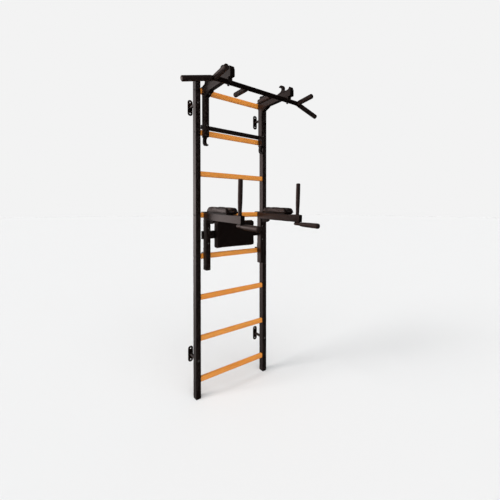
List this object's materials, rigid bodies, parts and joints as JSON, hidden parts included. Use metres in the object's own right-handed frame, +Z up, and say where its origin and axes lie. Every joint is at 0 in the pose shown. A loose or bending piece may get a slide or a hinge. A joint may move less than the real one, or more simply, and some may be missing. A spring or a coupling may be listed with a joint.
{
  "type": "wall bars with pull-up and dip units",
  "caption": "Wall-fixed steel and wood exercise ladder with a hook-on pull-up bar and a hook-on dip unit with forearm pads, grips and a backrest.",
  "frame": {"origin": "centre of the rectangle of wall fixing holes, on the wall plane; the floor is 1.2325 m below it", "axes": "+Z up, +Y into the wall (the user stands on the -Y side), +X to the right for someone who faces the ladder"},
  "size_m": [1.1818, 0.7821, 2.376],
  "materials": {
    "powder_coat": "fine matt powder coat, near black",
    "beech": "clear satin lacquer over beech, straight fine grain",
    "black_plastic": "matt",
    "grip_rubber": "soft matt",
    "vinyl": "black upholstery vinyl with a soft sheen",
    "black_steel": "black zinc screws and bolts, slight sheen"
  },
  "bodies": {
    "ladder": {"left_post": "powder_coat", "right_post": "powder_coat", "rung_1": "beech", "rung_2": "beech", "rung_3": "beech", "rung_4": "beech", "rung_5": "beech", "rung_6": "beech", "rung_7": "beech", "rung_8": "beech", "left_top_cap": "black_plastic", "right_top_cap": "black_plastic", "left_foot": "black_plastic", "right_foot": "black_plastic", "rung_screws": "black_steel", "bracket_top_left": "powder_coat", "bracket_top_right": "powder_coat", "bracket_low_left": "powder_coat", "bracket_low_right": "powder_coat", "bracket_bolts": "black_steel"},
    "pull_up_unit": {"pull_left_arm": "powder_coat", "pull_right_arm": "powder_coat", "pull_left_leg": "powder_coat", "pull_right_leg": "powder_coat", "pull_left_hook": "powder_coat", "pull_right_hook": "powder_coat", "pull_saddles": "powder_coat", "pull_claws": "black_plastic", "pull_leg_hooks": "black_plastic", "pull_gussets": "black_plastic", "pull_cross_tube": "powder_coat", "pull_plugs": "black_plastic", "pull_up_bar": "powder_coat", "end_grip_left": "grip_rubber", "end_grip_right": "grip_rubber", "inner_grip_left": "grip_rubber", "inner_grip_right": "grip_rubber", "outer_grip_left": "grip_rubber", "outer_grip_right": "grip_rubber", "bar_clamps": "powder_coat", "pull_bolts": "black_steel"},
    "dip_unit": {"dip_left_arm": "powder_coat", "dip_right_arm": "powder_coat", "dip_left_leg": "powder_coat", "dip_right_leg": "powder_coat", "dip_gussets": "black_plastic", "dip_upper_hooks": "powder_coat", "dip_lower_hooks": "powder_coat", "dip_cross_tube": "powder_coat", "dip_plugs": "black_plastic", "upright_grip_left": "grip_rubber", "upright_grip_right": "grip_rubber", "low_grip_left": "grip_rubber", "low_grip_right": "grip_rubber", "forearm_pad_left": "vinyl", "forearm_pad_right": "vinyl", "pad_boards": "black_plastic", "backrest_board": "black_plastic", "backrest_pad": "vinyl", "dip_bolts": "black_steel"}
  },
  "joints": [
    {"name": "pull_up_lift", "type": "slide", "parent": "ladder", "child": "pull_up_unit", "axis": [0, -0.2079, 0.9781], "range_m": [0, 0.35]},
    {"name": "dip_lift", "type": "slide", "parent": "ladder", "child": "dip_unit", "axis": [0, -0.2079, 0.9781], "range_m": [0, 0.35]}
  ]
}
